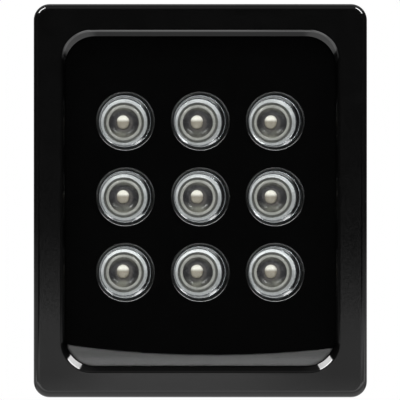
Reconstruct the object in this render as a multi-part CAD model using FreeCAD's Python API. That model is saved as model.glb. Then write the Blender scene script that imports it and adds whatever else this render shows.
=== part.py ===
import FreeCAD, Part
import math
import os

from FreeCAD import Vector

# Wall-mounted infrared illuminator, in millimetres.
# The origin is the middle of the bracket's back face, which lies on the wall.
# +Z is up, +Y points into the wall and +X is to the right of someone facing the lamp.
# A depth is always counted from the front face of the bezel towards the wall.

# Front bezel, seen from the front
body_width = 125.0
body_height = 147.5
body_corner = 6.0
front_edge_radius = 2.6

# The recess in the bezel: a sloped wall, then a straight lip down to the glass
frame_side = 10.8
frame_end = 9.8
recess_face_corner = 10.8
recess_floor_corner = 11.2
bevel_side = 0.9
bevel_end = 2.0
bevel_depth = 1.6
lip_height = 1.9
recess_edge_radius = 1.0
recess_drop = 0.3

# Glass, the seal in front of it and the pocket that both sit in
window_border = 2.5
window_thickness = 4.0
window_play = 0.3
window_edge_chamfer = 0.4
gasket_thickness = 1.0
gasket_reveal = 0.6

# Back of the bezel: hollow channel and the bosses for its screws
channel_width = 3.0
channel_outer_wall = 2.9
channel_floor = 4.0
bezel_boss_radius = 3.7

# Moulded tray that carries the lenses
tray_rim_width = 1.8
tray_rim_height = 2.0
tray_thickness = 2.0
cup_play = 0.25
cup_wall = 1.2
cup_mouth_chamfer = 0.6
cup_to_board = 0.2

# Nine lenses in three rows of three
lens_rows = 3
lens_columns = 3
lens_pitch_x = 28.3
lens_pitch_z = 28.6
array_shift_z = 1.5
lens_radius = 10.3
lens_height = 10.0
lens_setback = 0.4
lens_back_radius = 4.8
lens_dome_radius = 2.4
lens_dome_rise = 0.9
lens_well_radius = 2.6
lens_well_depth = 4.6

# Emitter packages on their circuit board
emitter_width = 3.4
emitter_base_height = 0.8
emitter_dome_radius = 1.3
emitter_gap = 0.3
board_margin = 2.0
board_corner = 4.0
board_thickness = 1.6
pad_thickness = 0.4
spreader_margin = 1.0
spreader_thickness = 3.0

# Rear casting
flange_inset = 1.0
flange_thickness = 3.5
flange_side = 13.5
flange_end = 12.75
shell_corner = 9.0
shell_wall = 3.0
shell_back_radius = 2.5
chamber_depth = 14.0
fin_count = 11
fin_thickness = 2.2
fin_length = 13.0
fin_edge_margin = 4.5
fin_corner = 7.0

# Cord seal between casting and bezel
seal_width = 1.8
seal_depth = 1.2
seal_offset = 0.6

# Screws that clamp the bezel to the casting
bezel_screw_radius = 2.0
bezel_screw_grip = 7.0
bezel_screw_inset = 4.1
bezel_screw_head_radius = 3.4
bezel_screw_head_height = 2.6
bezel_screw_hole_radius = 2.2

# Small screws inside the housing
small_screw_radius = 1.5
small_screw_head_radius = 2.7
small_screw_head_height = 1.6
small_screw_bite = 6.0
small_hole_radius = 1.7
post_radius = 3.6
post_inset = 5.5

# Play round screw threads and pivots, room past a screw's tip, and the socket in its head
thread_play = 0.05
pivot_play = 0.05
tap_overrun = 1.0
socket_share_of_head = 0.5
socket_share_of_shank = 0.6

# Driver board in the chamber behind the heat spreader
driver_side_margin = 13.0
driver_top_margin = 4.0
driver_gland_gap = 3.0
driver_corner = 2.0
driver_thickness = 1.6
driver_standoff = 3.4
driver_screw_inset = 4.0
driver_screw_bite = 2.6
driver_tap_overrun = 0.4
driver_post_radius = 3.0

# Parts on the driver board; a share places a part between the board's middle and its edge
inductor_width = 12.5
inductor_height = 7.0
inductor_core_radius = 5.0
inductor_core_recess = 0.8
inductor_share_x = -0.5
capacitor_radius = 4.0
capacitor_height = 7.6
capacitor_pitch = 10.5
capacitor_share_x = 0.33
upper_row_share_z = 0.5
chip_width = 6.0
chip_length = 8.0
chip_height = 1.7
chip_chamfer = 0.4
chip_share_x = 0.33
bridge_width = 8.0
bridge_length = 15.0
bridge_height = 4.0
bridge_chamfer = 2.0
bridge_share_x = -0.4
terminal_width = 15.3
terminal_depth = 8.2
terminal_height = 7.2
terminal_ways = 3
terminal_well_radius = 1.7
terminal_well_depth = 3.2
terminal_mouth_width = 2.6
terminal_mouth_height = 2.4
terminal_mouth_floor = 1.0
terminal_edge_gap = 1.0
terminal_screw_height = 1.4
terminal_screw_play = 0.1

# Two leads from the driver board to the emitter board
lead_radius = 0.7
lead_spacing = 2.0
lead_bead_radius = 0.95
lead_bead_height = 0.6
grommet_radius = 3.0
grommet_bore_radius = 1.9
grommet_lip_radius = 3.9
grommet_lip_height = 0.7
lead_hole_play = 0.15

# Cable gland, low on the back of the casting
gland_from_shell_end = 23.0
gland_boss_radius = 11.0
gland_boss_height = 3.0
gland_fin_clearance = 1.5
gland_thread_radius = 6.0
gland_hole_play = 0.1
gland_bore_radius = 4.0
gland_washer_thickness = 1.0
gland_washer_play = 0.05
gland_washer_inset = 1.0
gland_flat_width = 17.0
gland_flange_height = 4.0
gland_barrel_radius = 6.6
gland_barrel_height = 6.0
gland_nut_height = 4.0
gland_nut_depth_past = 1.0
cap_flat_width = 17.0
cap_gap = 1.2
cap_thread_play = 0.08
cap_seat_height = 6.2
cap_mouth_radius = 4.3
cap_mouth_height = 2.6
cap_nose_radius = 8.2
cap_nose_height = 5.0
cap_nose_rounding = 2.6
seal_bore_radius = 3.25
seal_outer_radius = 5.6
gland_seal_height = 6.0

# Pivot at each side of the casting
pivot_depth = 34.0
pivot_boss_radius = 9.0
pivot_boss_height = 2.2
pivot_inner_boss_radius = 6.5
pivot_inner_boss_depth = 6.0
pivot_screw_radius = 3.0
pivot_screw_reach = 8.0
pivot_hole_depth = 9.0
pivot_head_flats = 10.0
pivot_head_height = 4.0
friction_washer_thickness = 0.5
friction_washer_radius = 8.0
flat_washer_thickness = 1.0
flat_washer_radius = 6.2
spring_washer_thickness = 1.5
spring_washer_radius = 5.3
spring_washer_split = 0.8
washer_bore_play = 0.1

# Wall bracket, a folded strip of steel
bracket_thickness = 2.5
bracket_width = 24.0
bracket_bend_radius = 2.5
pivot_to_wall = 75.0
wall_hole_spacing = 60.0
wall_hole_radius = 2.75

# Depths of the layers, worked out from the sizes above
recess_depth = bevel_depth + lip_height
window_front = recess_depth + gasket_thickness
window_back = window_front + window_thickness
tray_front = window_back + tray_rim_height
bezel_depth = tray_front + tray_thickness
lens_front = tray_front + lens_setback
lens_back = lens_front + lens_height
board_front = lens_back + emitter_base_height + emitter_gap
board_back = board_front + board_thickness
spreader_front = board_back + pad_thickness
spreader_back = spreader_front + spreader_thickness
chamber_back = spreader_back + chamber_depth
shell_back = chamber_back + shell_wall
fin_back = shell_back + fin_length
driver_back = chamber_back - driver_standoff
driver_front = driver_back - driver_thickness
front_y = -(pivot_to_wall + pivot_depth)

# Widths and corners that follow from the sizes above
recess_face_width = body_width - 2 * frame_side
recess_face_height = body_height - 2 * frame_end
recess_floor_width = recess_face_width - 2 * bevel_side
recess_floor_height = recess_face_height - 2 * bevel_end
pocket_width = recess_floor_width + 2 * (window_border + window_play)
pocket_height = recess_floor_height + 2 * (window_border + window_play)
pocket_corner = recess_floor_corner
window_width = pocket_width - 2 * window_play
window_height = pocket_height - 2 * window_play
window_corner = pocket_corner - window_play
cup_radius = lens_radius + cup_play
shell_width = body_width - 2 * flange_side
shell_height = body_height - 2 * flange_end
cavity_width = shell_width - 2 * shell_wall
cavity_height = shell_height - 2 * shell_wall
cavity_corner = shell_corner - shell_wall
board_width = cavity_width - 2 * board_margin
board_height = cavity_height - 2 * board_margin
gland_z = gland_from_shell_end - shell_height / 2
driver_top = cavity_height / 2 - driver_top_margin
driver_bottom = gland_z + gland_boss_radius + driver_gland_gap
driver_width = cavity_width - 2 * driver_side_margin
driver_height = driver_top - driver_bottom
driver_centre_z = (driver_top + driver_bottom) / 2
upper_row_z = upper_row_share_z * driver_height / 2
lead_x = lens_pitch_x / 2
lead_z = array_shift_z - lens_pitch_z / 2
boss_face_x = shell_width / 2 + pivot_boss_height
arm_inner_x = boss_face_x + friction_washer_thickness + pivot_play
arm_outer_x = arm_inner_x + bracket_thickness
flat_washer_x = arm_outer_x + pivot_play
spring_washer_x = flat_washer_x + flat_washer_thickness
pivot_head_x = spring_washer_x + spring_washer_thickness
gland_washer_back = shell_back + gland_boss_height + gland_washer_thickness
gland_flange_back = gland_washer_back + gland_flange_height
gland_barrel_back = gland_flange_back + gland_barrel_height
nut_front = chamber_back - gland_nut_height
small = 0.01


def is_along_depth(edge):
    return abs(edge.tangentAt(edge.FirstParameter).y) > 1 - small


def rounded_block(width, height, corner, depth_from, depth_to, centre_x=0.0, centre_z=0.0):
    """A block with four rounded corners, seen from the front."""
    low = Vector(centre_x - width / 2, front_y + depth_from, centre_z - height / 2)
    block = Part.makeBox(width, depth_to - depth_from, height, low)
    return block.makeFillet(corner, [edge for edge in block.Edges if is_along_depth(edge)])


def rod(radius, depth_from, depth_to, x, z):
    """A round rod that runs from the front towards the wall."""
    return Part.makeCylinder(radius, depth_to - depth_from, Vector(x, front_y + depth_from, z), Vector(0, 1, 0))


def hexagon_corners(flat_width):
    """Corners of a six-sided outline about the origin; the first comes again at the end."""
    reach = flat_width / 2 / math.cos(math.pi / 6)
    angles = [side * math.pi / 3 for side in range(6)]
    angles.append(angles[0])
    return [(reach * math.cos(angle), reach * math.sin(angle)) for angle in angles]


def hexagon_bar(flat_width, depth_from, depth_to, x, z):
    """A six-sided bar that runs from the front towards the wall."""
    corners = [Vector(x + across, front_y + depth_from, z + up) for across, up in hexagon_corners(flat_width)]
    return Part.Face(Part.makePolygon(corners)).extrude(Vector(0, depth_to - depth_from, 0))


def turned(profile, x, z):
    """A round solid about a line along the depth. The profile's points are (radius, depth)."""
    corners = [Vector(x + radius, front_y + depth, z) for radius, depth in profile + profile[:1]]
    return Part.Face(Part.makePolygon(corners)).revolve(Vector(x, front_y, z), Vector(0, 1, 0), 360)


def dome(radius, rise, depth, x, z):
    """A cap of a ball that stands on a flat face at the given depth and bulges to the front."""
    ball_radius = (radius ** 2 + rise ** 2) / (2 * rise)
    centre = Vector(x, front_y + depth - rise + ball_radius, z)
    latitude = math.degrees(math.asin((ball_radius - rise) / ball_radius))
    return Part.makeSphere(ball_radius, centre, Vector(0, -1, 0), latitude, 90, 360)


def front_face(solid):
    return min(solid.Faces, key=lambda face: face.CenterOfMass.y)


def screw(radius, head_radius, head_height, seat, tip, x, z, head_in_front=True):
    """A socket screw. Its head lies in front of its seat, or behind it, and its tip is at the other end."""
    side = -1 if head_in_front else 1
    head_end = seat + side * head_height
    socket_end = seat + side * head_height * socket_share_of_head
    head = rod(head_radius, min(seat, head_end), max(seat, head_end), x, z)
    shank = rod(radius, min(seat, tip), max(seat, tip), x, z)
    flat_width = 2 * radius * socket_share_of_shank
    socket = hexagon_bar(flat_width, min(socket_end, head_end), max(socket_end, head_end), x, z)
    return head.fuse(shank).cut(socket)


def lens_centres():
    """Middle of every lens, row by row from the top left."""
    centres = []
    for row in range(lens_rows):
        for column in range(lens_columns):
            x = (column - (lens_columns - 1) / 2) * lens_pitch_x
            z = array_shift_z + ((lens_rows - 1) / 2 - row) * lens_pitch_z
            centres.append((x, z))
    return centres


def bezel_screw_places():
    """Four corners and the middle of both long sides."""
    x = body_width / 2 - bezel_screw_inset
    z = body_height / 2 - bezel_screw_inset
    return [(side * x, height) for side in (-1, 1) for height in (-z, 0.0, z)]


def post_places():
    x = board_width / 2 - post_inset
    z = board_height / 2 - post_inset
    return [(across * x, up * z) for across in (-1, 1) for up in (-1, 1)]


def driver_screw_places():
    x = driver_width / 2 - driver_screw_inset
    z = driver_height / 2 - driver_screw_inset
    return [(across * x, driver_centre_z + up * z) for across in (-1, 1) for up in (-1, 1)]


def lead_places():
    return [(lead_x - lead_spacing / 2, lead_z), (lead_x + lead_spacing / 2, lead_z)]


def recess_void():
    """The opening for the light: wide at the face, narrowing down the slope, then straight."""
    face = rounded_block(recess_face_width, recess_face_height, recess_face_corner,
                         0, bevel_depth, centre_z=-recess_drop)
    throat = rounded_block(recess_floor_width, recess_floor_height, recess_floor_corner,
                           bevel_depth, recess_depth, centre_z=-recess_drop)
    slope = Part.makeLoft([front_face(face).OuterWire, front_face(throat).OuterWire], True)
    return slope.fuse(throat)


def on_recess_edge(edge):
    box = edge.BoundBox
    at_face = abs(box.YMin - front_y) < small and abs(box.YMax - front_y) < small
    return at_face and abs(edge.CenterOfMass.x) < recess_face_width / 2 + small \
        and abs(edge.CenterOfMass.z + recess_drop) < recess_face_height / 2 + small


def front_bezel():
    """Die-cast frame: rounded outside, sloped recess, pocket for the glass and a hollow channel behind."""
    body = rounded_block(body_width, body_height, body_corner, 0, bezel_depth)
    body = body.makeFillet(front_edge_radius, front_face(body).Edges)
    pocket = rounded_block(pocket_width, pocket_height, pocket_corner, recess_depth, bezel_depth,
                           centre_z=-recess_drop)
    body = body.cut([recess_void(), pocket])
    body = body.makeFillet(recess_edge_radius, [edge for edge in body.Edges if on_recess_edge(edge)])
    outer_width = body_width - 2 * channel_outer_wall
    outer_height = body_height - 2 * channel_outer_wall
    outer_corner = max(body_corner - channel_outer_wall, small)
    channel = rounded_block(outer_width, outer_height, outer_corner, channel_floor, bezel_depth)
    inner_width = outer_width - 2 * channel_width
    inner_height = outer_height - 2 * channel_width
    channel = channel.cut(rounded_block(inner_width, inner_height, pocket_corner, 0, bezel_depth))
    bosses = [rod(bezel_boss_radius, 0, bezel_depth, x, z) for x, z in bezel_screw_places()]
    channel = channel.cut(bosses)
    taps = [rod(bezel_screw_radius + thread_play, bezel_depth - bezel_screw_grip - tap_overrun, bezel_depth, x, z)
            for x, z in bezel_screw_places()]
    return body.cut([channel] + taps)


def window_gasket():
    """Flat rubber frame between the bezel's lip and the glass."""
    outer = rounded_block(window_width, window_height, window_corner, recess_depth, window_front,
                          centre_z=-recess_drop)
    inner = rounded_block(recess_floor_width + 2 * gasket_reveal, recess_floor_height + 2 * gasket_reveal,
                          recess_floor_corner, recess_depth, window_front, centre_z=-recess_drop)
    return outer.cut(inner)


def front_window():
    """Toughened glass plate with ground edges."""
    pane = rounded_block(window_width, window_height, window_corner, window_front, window_back,
                         centre_z=-recess_drop)
    return pane.makeChamfer(window_edge_chamfer, front_face(pane).Edges)


def lens_tray():
    """Black moulding with nine cups and a rim that presses the glass against its seal."""
    plate = rounded_block(window_width, window_height, window_corner, tray_front, bezel_depth,
                          centre_z=-recess_drop)
    rim = rounded_block(window_width, window_height, window_corner, window_back, tray_front,
                        centre_z=-recess_drop)
    rim = rim.cut(rounded_block(window_width - 2 * tray_rim_width, window_height - 2 * tray_rim_width,
                                window_corner - tray_rim_width, window_back, tray_front,
                                centre_z=-recess_drop))
    cup_back = board_front - cup_to_board
    cups = [rod(cup_radius + cup_wall, bezel_depth, cup_back, x, z) for x, z in lens_centres()]
    bores = []
    for x, z in lens_centres():
        bores.append(turned([(0, tray_front), (cup_radius + cup_mouth_chamfer, tray_front),
                             (cup_radius, tray_front + cup_mouth_chamfer),
                             (cup_radius, cup_back), (0, cup_back)], x, z))
    return plate.fuse([rim] + cups).removeSplitter().cut(bores)


def lens(x, z):
    """Collimating lens: flat front with a raised centre, tapered sides and a well over the emitter."""
    well_end = lens_back - lens_well_depth
    body = turned([(0, lens_front), (lens_radius, lens_front), (lens_back_radius, lens_back),
                   (lens_well_radius, lens_back), (lens_well_radius, well_end), (0, well_end)], x, z)
    return body.fuse(dome(lens_dome_radius, lens_dome_rise, lens_front, x, z)).removeSplitter()


def emitter(x, z):
    """Ceramic base with a clear dome."""
    base_front = board_front - emitter_base_height
    low = Vector(x - emitter_width / 2, front_y + base_front, z - emitter_width / 2)
    base = Part.makeBox(emitter_width, emitter_base_height, emitter_width, low)
    return base.fuse(dome(emitter_dome_radius, emitter_dome_radius, base_front, x, z))


def drilled_plate(width, height, corner, depth_from, depth_to, lead_hole_radius):
    """A plate with the four screw holes and the hole for the leads."""
    plate = rounded_block(width, height, corner, depth_from, depth_to)
    holes = [rod(small_hole_radius, depth_from, depth_to, x, z) for x, z in post_places()]
    holes.append(rod(lead_hole_radius, depth_from, depth_to, lead_x, lead_z))
    return plate.cut(holes)


def emitter_board():
    plate = rounded_block(board_width, board_height, board_corner, board_front, board_back)
    holes = [rod(small_hole_radius, board_front, board_back, x, z) for x, z in post_places()]
    holes += [rod(lead_radius + lead_hole_play, board_front, board_back, x, z) for x, z in lead_places()]
    return plate.cut(holes)


def thermal_pad():
    return drilled_plate(board_width, board_height, board_corner, board_back, spreader_front,
                         grommet_lip_radius + lead_hole_play)


def heat_spreader():
    width = cavity_width - 2 * spreader_margin
    height = cavity_height - 2 * spreader_margin
    plate = drilled_plate(width, height, cavity_corner - spreader_margin, spreader_front, spreader_back,
                          grommet_radius)
    relief = rod(grommet_lip_radius, spreader_front, spreader_front + grommet_lip_height - pad_thickness,
                 lead_x, lead_z)
    return plate.cut(relief)


def lead_grommet():
    """Rubber ring that lines the hole in the spreader."""
    lip_front = spreader_front - pad_thickness
    lip_back = lip_front + grommet_lip_height
    return turned([(grommet_bore_radius, lip_front), (grommet_lip_radius, lip_front),
                   (grommet_lip_radius, lip_back), (grommet_radius, lip_back),
                   (grommet_radius, spreader_back), (grommet_bore_radius, spreader_back)], lead_x, lead_z)


def lead(x, z):
    """Insulated wire with a solder bead on the emitter board."""
    wire = rod(lead_radius, board_front - lead_bead_height, driver_front, x, z)
    bead = turned([(0, board_front - lead_bead_height), (lead_radius, board_front - lead_bead_height),
                   (lead_bead_radius, board_front), (0, board_front)], x, z)
    return wire.fuse(bead).removeSplitter()


def fin(x):
    """One upright cooling fin with rounded rear corners."""
    half = shell_height / 2 - fin_edge_margin
    near = front_y + shell_back
    far = front_y + fin_back
    low = Vector(x - fin_thickness / 2, near, -half)
    plate = Part.makeBox(fin_thickness, far - near, 2 * half, low)
    corners = [edge for edge in plate.Edges
               if abs(edge.CenterOfMass.y - far) < small and abs(abs(edge.CenterOfMass.z) - half) < small]
    return plate.makeFillet(fin_corner, corners)


def fin_positions():
    span = shell_width - 2 * fin_edge_margin - fin_thickness
    return [-span / 2 + span * number / (fin_count - 1) for number in range(fin_count)]


def side_rod(radius, x_from, x_to):
    """A rod along the pivot line."""
    low = min(x_from, x_to)
    return Part.makeCylinder(radius, abs(x_to - x_from), Vector(low, front_y + pivot_depth, 0), Vector(1, 0, 0))


def rear_housing():
    """Finned casting with a bolting flange, inner posts, pivot bosses and a boss for the cable gland."""
    flange = rounded_block(body_width - 2 * flange_inset, body_height - 2 * flange_inset,
                           body_corner - flange_inset, bezel_depth, bezel_depth + flange_thickness)
    shell = rounded_block(shell_width, shell_height, shell_corner, bezel_depth, shell_back)
    back_edges = max(shell.Faces, key=lambda face: face.CenterOfMass.y).Edges
    shell = shell.makeFillet(shell_back_radius, back_edges)
    fins = [fin(x) for x in fin_positions()]
    clearance = rod(gland_boss_radius + gland_fin_clearance, shell_back, fin_back, 0, gland_z)
    fins = [piece.cut(clearance) for piece in fins]
    boss = rod(gland_boss_radius, shell_back - shell_wall, shell_back + gland_boss_height, 0, gland_z)
    pivots = [side_rod(pivot_boss_radius, side * cavity_width / 2, side * boss_face_x) for side in (-1, 1)]
    solid = flange.fuse([shell, boss] + pivots + fins)
    cavity = rounded_block(cavity_width, cavity_height, cavity_corner, bezel_depth, chamber_back)
    solid = solid.cut(cavity)
    posts = [rod(post_radius, spreader_back, chamber_back, x, z) for x, z in post_places()]
    posts += [rod(driver_post_radius, driver_back, chamber_back, x, z) for x, z in driver_screw_places()]
    posts += [side_rod(pivot_inner_boss_radius, side * (cavity_width / 2 - pivot_inner_boss_depth),
                       side * cavity_width / 2) for side in (-1, 1)]
    solid = solid.fuse(posts).removeSplitter()
    flange_back = bezel_depth + flange_thickness
    holes = [rod(bezel_screw_hole_radius, bezel_depth, flange_back, x, z) for x, z in bezel_screw_places()]
    post_tap = small_screw_radius + thread_play
    post_tap_end = spreader_back + small_screw_bite + tap_overrun
    driver_tap_end = driver_back + driver_screw_bite + driver_tap_overrun
    holes += [rod(post_tap, spreader_back, post_tap_end, x, z) for x, z in post_places()]
    holes += [rod(post_tap, driver_back, driver_tap_end, x, z) for x, z in driver_screw_places()]
    holes.append(rod(gland_thread_radius + gland_hole_play, chamber_back, shell_back + gland_boss_height,
                     0, gland_z))
    holes += [side_rod(pivot_screw_radius + thread_play, side * (boss_face_x - pivot_hole_depth),
                       side * boss_face_x) for side in (-1, 1)]
    holes.append(seal_ring(bezel_depth + seal_depth))
    return solid.cut(holes)


def seal_ring(depth_to):
    """Cord seal round the glass pocket, and the groove that it lies in."""
    inner_width = pocket_width + 2 * seal_offset
    inner_height = pocket_height + 2 * seal_offset
    corner = pocket_corner + seal_offset
    outer = rounded_block(inner_width + 2 * seal_width, inner_height + 2 * seal_width, corner + seal_width,
                          bezel_depth, depth_to, centre_z=-recess_drop)
    return outer.cut(rounded_block(inner_width, inner_height, corner, bezel_depth, depth_to,
                                   centre_z=-recess_drop))


def bezel_screws():
    seat = bezel_depth + flange_thickness
    return [screw(bezel_screw_radius, bezel_screw_head_radius, bezel_screw_head_height, seat,
                  bezel_depth - bezel_screw_grip, x, z, head_in_front=False) for x, z in bezel_screw_places()]


def board_screws():
    return [screw(small_screw_radius, small_screw_head_radius, small_screw_head_height, board_front,
                  spreader_back + small_screw_bite, x, z) for x, z in post_places()]


def driver_screws():
    return [screw(small_screw_radius, small_screw_head_radius, small_screw_head_height, driver_front,
                  driver_back + driver_screw_bite, x, z) for x, z in driver_screw_places()]


def driver_board():
    plate = rounded_block(driver_width, driver_height, driver_corner, driver_front, driver_back,
                          centre_z=driver_centre_z)
    holes = [rod(small_hole_radius, driver_front, driver_back, x, z) for x, z in driver_screw_places()]
    return plate.cut(holes)


def on_driver(width, height, rise, x, z):
    """A block that stands on the front of the driver board; x and z count from the board's middle."""
    low = Vector(x - width / 2, front_y + driver_front - rise, driver_centre_z + z - height / 2)
    return Part.makeBox(width, rise, height, low)


def inductor():
    """Shielded coil with a round core set into its square can."""
    x = inductor_share_x * driver_width / 2
    can = on_driver(inductor_width, inductor_width, inductor_height, x, 0)
    can = can.makeFillet(inductor_core_recess, [edge for edge in can.Edges if is_along_depth(edge)])
    front = driver_front - inductor_height
    gap = rod(inductor_core_radius, front, front + inductor_core_recess, x, driver_centre_z)
    return can.cut(gap)


def capacitors():
    """Two upright cans side by side."""
    cans = []
    for side in (-0.5, 0.5):
        x = capacitor_share_x * driver_width / 2 + side * capacitor_pitch
        z = driver_centre_z + upper_row_z
        cans.append(rod(capacitor_radius, driver_front - capacitor_height, driver_front, x, z))
    return cans


def driver_chip():
    chip = on_driver(chip_width, chip_length, chip_height, chip_share_x * driver_width / 2, 0)
    return chip.makeChamfer(chip_chamfer, front_face(chip).Edges)


def bridge_rectifier():
    x = bridge_share_x * driver_width / 2
    bridge = on_driver(bridge_length, bridge_width, bridge_height, x, upper_row_z)
    corner = [edge for edge in bridge.Edges if is_along_depth(edge)][:1]
    return bridge.makeChamfer(bridge_chamfer, corner)


def terminal_z():
    return -driver_height / 2 + terminal_depth / 2 + terminal_edge_gap


def terminal_way_positions():
    pitch = terminal_width / terminal_ways
    return [(number - (terminal_ways - 1) / 2) * pitch for number in range(terminal_ways)]


def terminal_block():
    """Supply terminals with a screw well on top of each way and a wire mouth below."""
    block = on_driver(terminal_width, terminal_depth, terminal_height, 0, terminal_z())
    front = driver_front - terminal_height
    cuts = []
    for x in terminal_way_positions():
        cuts.append(rod(terminal_well_radius, front, front + terminal_well_depth, x,
                        driver_centre_z + terminal_z()))
        mouth_front = driver_front - terminal_mouth_floor - terminal_mouth_height
        low = Vector(x - terminal_mouth_width / 2, front_y + mouth_front,
                     driver_centre_z + terminal_z() - terminal_depth / 2)
        cuts.append(Part.makeBox(terminal_mouth_width, terminal_mouth_height, terminal_depth / 2, low))
    return block.cut(cuts)


def terminal_screws():
    bottom = driver_front - terminal_height + terminal_well_depth
    return [rod(terminal_well_radius - terminal_screw_play, bottom - terminal_screw_height, bottom, x,
                driver_centre_z + terminal_z()) for x in terminal_way_positions()]


def gland_washer():
    front = shell_back + gland_boss_height
    ring = rod(gland_boss_radius - gland_washer_inset, front, gland_washer_back, 0, gland_z)
    return ring.cut(rod(gland_thread_radius + gland_washer_play, front, gland_washer_back, 0, gland_z))


def gland_body():
    """Threaded stub through the casting, six-sided flange and the barrel under the cap."""
    stub_front = nut_front - gland_nut_depth_past
    stub = rod(gland_thread_radius, stub_front, gland_washer_back, 0, gland_z)
    flange = hexagon_bar(gland_flat_width, gland_washer_back, gland_flange_back, 0, gland_z)
    barrel = rod(gland_barrel_radius, gland_flange_back, gland_barrel_back, 0, gland_z)
    bore = rod(gland_bore_radius, stub_front, gland_barrel_back, 0, gland_z)
    return flange.fuse([stub, barrel]).cut(bore)


def gland_locknut():
    nut = hexagon_bar(gland_flat_width, nut_front, chamber_back, 0, gland_z)
    return nut.cut(rod(gland_thread_radius + thread_play, nut_front, chamber_back, 0, gland_z))


def gland_cap():
    """Six-sided nut with a rounded nose that squeezes the rubber seal round the cable."""
    front = gland_flange_back + cap_gap
    shoulder = gland_barrel_back + cap_seat_height
    back = shoulder + cap_mouth_height
    grip = hexagon_bar(cap_flat_width, front, back - cap_nose_height, 0, gland_z)
    nose = rod(cap_nose_radius, front, back, 0, gland_z)
    rim = max(nose.Edges, key=lambda edge: edge.CenterOfMass.y)
    nose = nose.makeFillet(cap_nose_rounding, [rim])
    inner = gland_barrel_radius + cap_thread_play
    seal_room = seal_outer_radius + cap_thread_play
    hollow = turned([(0, front), (inner, front), (inner, gland_barrel_back), (seal_room, gland_barrel_back),
                     (seal_room, shoulder), (cap_mouth_radius, shoulder), (cap_mouth_radius, back), (0, back)],
                    0, gland_z)
    return grip.fuse(nose).cut(hollow)


def gland_seal():
    back = gland_barrel_back + gland_seal_height
    ring = rod(seal_outer_radius, gland_barrel_back, back, 0, gland_z)
    return ring.cut(rod(seal_bore_radius, gland_barrel_back, back, 0, gland_z))


def side_ring(outer_radius, bore_radius, x_from, x_to):
    return side_rod(outer_radius, x_from, x_to).cut(side_rod(bore_radius, x_from, x_to))


def friction_washer(side):
    return side_ring(friction_washer_radius, pivot_screw_radius + washer_bore_play, side * boss_face_x,
                     side * (boss_face_x + friction_washer_thickness))


def flat_washer(side):
    return side_ring(flat_washer_radius, pivot_screw_radius + washer_bore_play, side * flat_washer_x,
                     side * spring_washer_x)


def spring_washer(side):
    """Split ring, pressed flat between the plain washer and the screw's head."""
    ring = side_ring(spring_washer_radius, pivot_screw_radius + washer_bore_play, side * spring_washer_x,
                     side * pivot_head_x)
    low = Vector(min(side * spring_washer_x, side * pivot_head_x), front_y + pivot_depth - spring_washer_split / 2, 0)
    slit = Part.makeBox(spring_washer_thickness, spring_washer_split, spring_washer_radius, low)
    return ring.cut(slit)


def pivot_screw(side):
    """Six-sided screw that clamps the arm and carries the lamp."""
    tip = boss_face_x - pivot_screw_reach
    shank = side_rod(pivot_screw_radius, side * tip, side * pivot_head_x)
    corners = [Vector(side * pivot_head_x, front_y + pivot_depth + along, up)
               for along, up in hexagon_corners(pivot_head_flats)]
    head = Part.Face(Part.makePolygon(corners)).extrude(Vector(side * pivot_head_height, 0, 0))
    return head.fuse(shank)


def is_upright(edge):
    return abs(edge.tangentAt(edge.FirstParameter).z) > 1 - small


def folded_strip(half_width, back, radius, height):
    """Outside or inside of the folded strip, open towards the lamp."""
    reach = pivot_to_wall + bracket_width
    block = Part.makeBox(2 * half_width, reach + back, height, Vector(-half_width, -reach, -height / 2))
    bends = [edge for edge in block.Edges if is_upright(edge) and edge.CenterOfMass.y > -reach / 2]
    return block.makeFillet(radius, bends)


def wall_bracket():
    """Steel strip folded into a U: base on the wall, a rounded arm at each side."""
    strip = folded_strip(arm_outer_x, 0, bracket_bend_radius + bracket_thickness, bracket_width)
    strip = strip.cut(folded_strip(arm_inner_x, -bracket_thickness, bracket_bend_radius, bracket_width))
    flat = Part.makeBox(2 * arm_outer_x, pivot_to_wall, bracket_width,
                        Vector(-arm_outer_x, -pivot_to_wall, -bracket_width / 2))
    rounded_ends = side_rod(bracket_width / 2, -arm_outer_x, arm_outer_x)
    strip = strip.common(flat.fuse(rounded_ends).removeSplitter())
    holes = [side_rod(pivot_screw_radius + pivot_play, side * arm_inner_x, side * arm_outer_x)
             for side in (-1, 1)]
    for side in (-1, 1):
        start = Vector(side * wall_hole_spacing / 2, -bracket_thickness, 0)
        holes.append(Part.makeCylinder(wall_hole_radius, bracket_thickness, start, Vector(0, 1, 0)))
    return strip.cut(holes)


pieces = {
    "front_bezel": front_bezel(),
    "window_gasket": window_gasket(),
    "front_window": front_window(),
    "lens_tray": lens_tray(),
    "emitter_board": emitter_board(),
    "board_screws": board_screws(),
    "thermal_pad": thermal_pad(),
    "heat_spreader": heat_spreader(),
    "lead_grommet": lead_grommet(),
    "rear_housing": rear_housing(),
    "housing_seal": seal_ring(bezel_depth + seal_depth),
    "bezel_screws": bezel_screws(),
    "driver_board": driver_board(),
    "driver_screws": driver_screws(),
    "inductor": inductor(),
    "capacitors": capacitors(),
    "driver_chip": driver_chip(),
    "bridge_rectifier": bridge_rectifier(),
    "terminal_block": terminal_block(),
    "terminal_screws": terminal_screws(),
    "gland_washer": gland_washer(),
    "gland_body": gland_body(),
    "gland_locknut": gland_locknut(),
    "gland_cap": gland_cap(),
    "gland_seal": gland_seal(),
    "wall_bracket": wall_bracket(),
}

for number, (x, z) in enumerate(lens_centres(), start=1):
    pieces[f"lens_{number}"] = lens(x, z)
    pieces[f"emitter_{number}"] = emitter(x, z)

for name, (x, z) in zip(("negative", "positive"), lead_places()):
    pieces[f"emitter_lead_{name}"] = lead(x, z)

for name, side in (("left", -1), ("right", 1)):
    pieces[f"friction_washer_{name}"] = friction_washer(side)
    pieces[f"flat_washer_{name}"] = flat_washer(side)
    pieces[f"spring_washer_{name}"] = spring_washer(side)
    pieces[f"pivot_screw_{name}"] = pivot_screw(side)

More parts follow.
